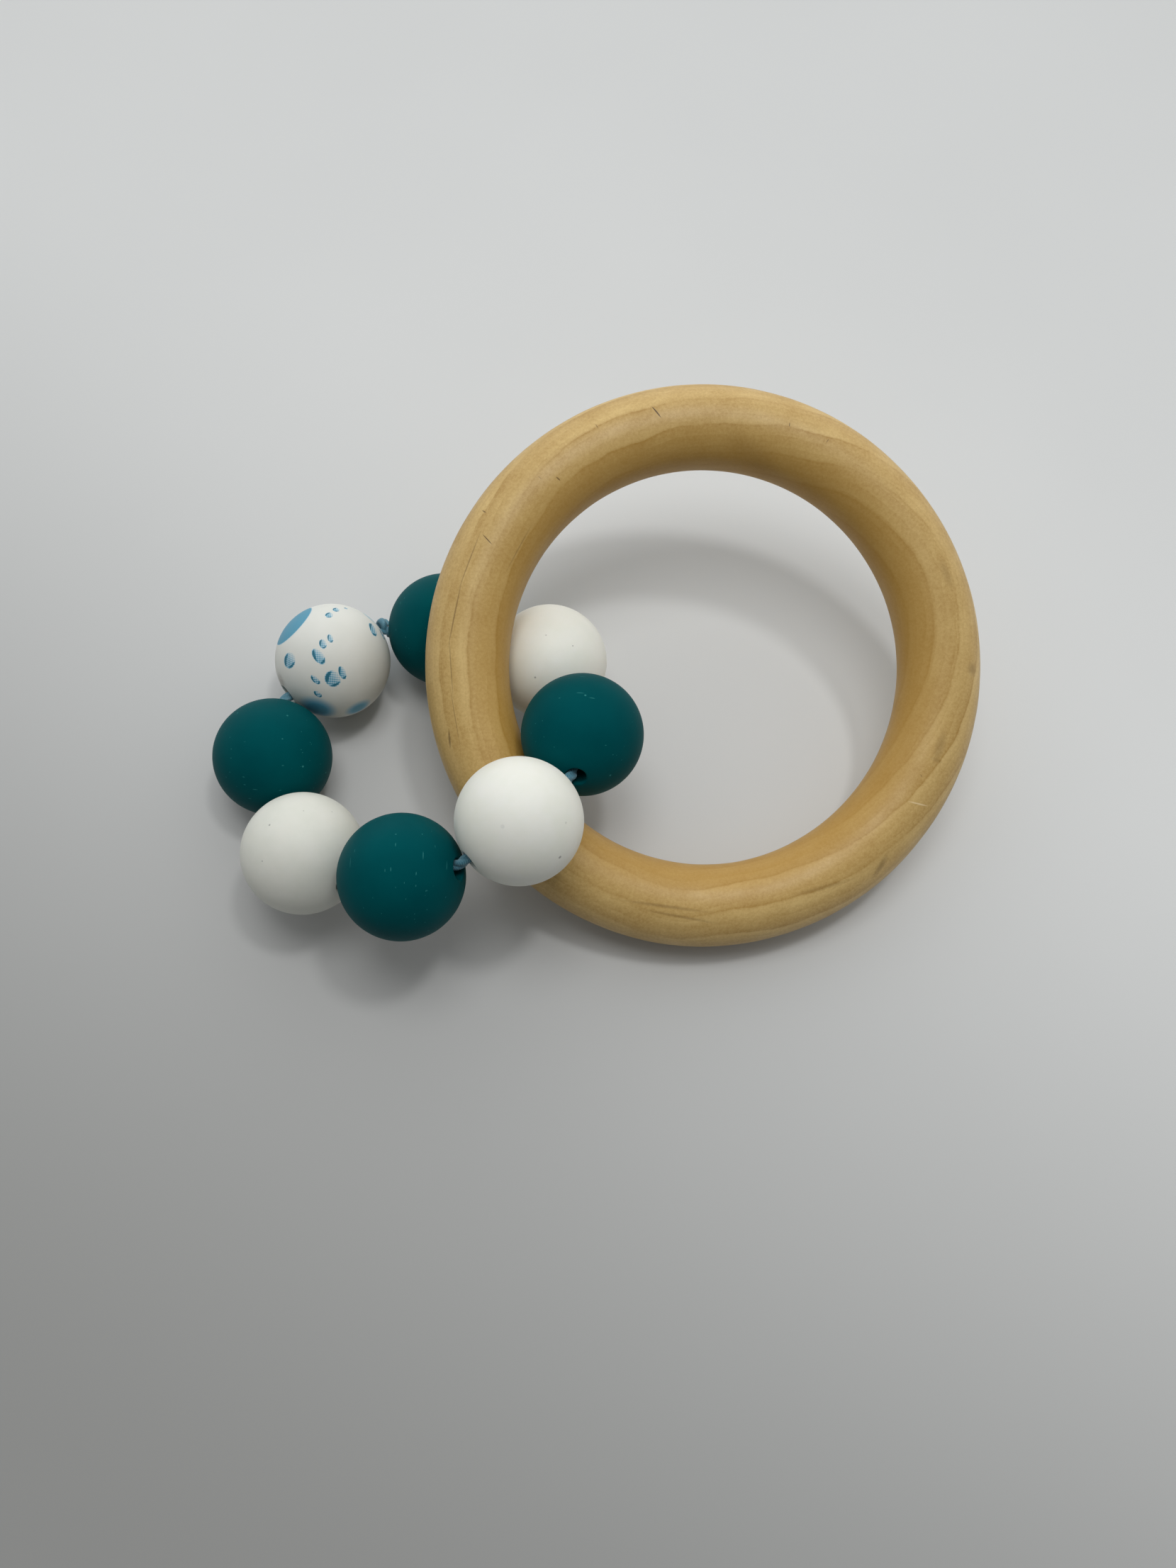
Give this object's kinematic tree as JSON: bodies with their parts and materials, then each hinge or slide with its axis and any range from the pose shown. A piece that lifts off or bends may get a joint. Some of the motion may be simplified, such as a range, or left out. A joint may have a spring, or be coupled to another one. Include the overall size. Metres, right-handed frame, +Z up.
{
  "type": "baby rattle",
  "caption": "Wooden grip ring threaded through a closed strand of silicone ball beads that slide and knock on it.",
  "frame": {"origin": "on the table below the middle of the whole toy as it lies at rest", "axes": "+Z up from the table, +X from the strand of beads towards the free side of the ring, +Y across, towards the ring's raised side"},
  "size_m": [0.097, 0.0672, 0.032],
  "materials": {
    "wood": "turned, sanded and waxed pale wood",
    "teal_silicone": "matte moulded silicone",
    "white_silicone": "matte moulded silicone",
    "printed_silicone": "matte white silicone printed with blue water drops",
    "cord": "twisted satin nylon cord"
  },
  "bodies": {
    "strand_ring_side": {"cord_ring_side": "cord", "knot": "cord"},
    "ring": {"ring": "wood"},
    "strand_middle": {"cord_print_side": "cord", "cord_climb_side": "cord"},
    "strand_end": {"cord_far_side": "cord"},
    "bead_teal_1": {"bead_teal_1": "teal_silicone"},
    "bead_print": {"bead_print": "printed_silicone"},
    "bead_teal_2": {"bead_teal_2": "teal_silicone"},
    "bead_white_1": {"bead_white_1": "white_silicone"},
    "bead_teal_3": {"bead_teal_3": "teal_silicone"},
    "bead_white_2": {"bead_white_2": "white_silicone"},
    "bead_teal_4": {"bead_teal_4": "teal_silicone"},
    "bead_white_3": {"bead_white_3": "white_silicone"}
  },
  "joints": [
    {"name": "ring_turn", "type": "hinge", "parent": "strand_ring_side", "child": "ring", "pos_m": [0.01355, 0.00064, 0.01599], "axis": [0.0253, -0.3624, 0.9317], "continuous": true},
    {"name": "strand_fold_near", "type": "hinge", "parent": "strand_ring_side", "child": "strand_middle", "pos_m": [-0.02756, 0.0106, 0.00706], "axis": [-0.2702, 0.8973, -0.3491], "range_deg": [-8, 20]},
    {"name": "strand_fold_far", "type": "hinge", "parent": "strand_middle", "child": "strand_end", "pos_m": [-0.04025, 0.00057, 0.00765], "axis": [-0.3319, 0.9183, -0.2159], "range_deg": [-8, 20]},
    {"name": "teal_1_spin", "type": "hinge", "parent": "strand_ring_side", "child": "bead_teal_1", "pos_m": [-0.01952, 0.01034, 0.0074], "axis": [-0.9939, 0.0559, -0.0953], "continuous": true},
    {"name": "print_spin", "type": "hinge", "parent": "strand_middle", "child": "bead_print", "pos_m": [-0.03403, 0.00591, 0.0074], "axis": [-0.7736, -0.6337, 0], "continuous": true},
    {"name": "teal_2_spin", "type": "hinge", "parent": "strand_end", "child": "bead_teal_2", "pos_m": [-0.04114, -0.00738, 0.0074], "axis": [-0.0319, -0.997, -0.0707], "continuous": true},
    {"name": "white_1_spin", "type": "hinge", "parent": "strand_end", "child": "bead_white_1", "pos_m": [-0.03628, -0.02118, 0.0108], "axis": [0.7385, -0.5997, 0.3082], "continuous": true},
    {"name": "teal_3_spin", "type": "hinge", "parent": "strand_middle", "child": "bead_teal_3", "pos_m": [-0.02384, -0.02621, 0.0176], "axis": [0.9158, 0.0014, 0.4016], "continuous": true},
    {"name": "white_2_spin", "type": "hinge", "parent": "strand_ring_side", "child": "bead_white_2", "pos_m": [-0.01028, -0.02114, 0.0222], "axis": [0.7796, 0.6259, 0.0219], "continuous": true},
    {"name": "teal_4_spin", "type": "hinge", "parent": "strand_ring_side", "child": "bead_teal_4", "pos_m": [-0.00248, -0.00906, 0.0182], "axis": [0.1543, 0.8924, -0.424], "continuous": true},
    {"name": "white_3_spin", "type": "hinge", "parent": "strand_ring_side", "child": "bead_white_3", "pos_m": [-0.00588, 0.00432, 0.0101], "axis": [-0.6089, 0.693, -0.3859], "continuous": true}
  ]
}
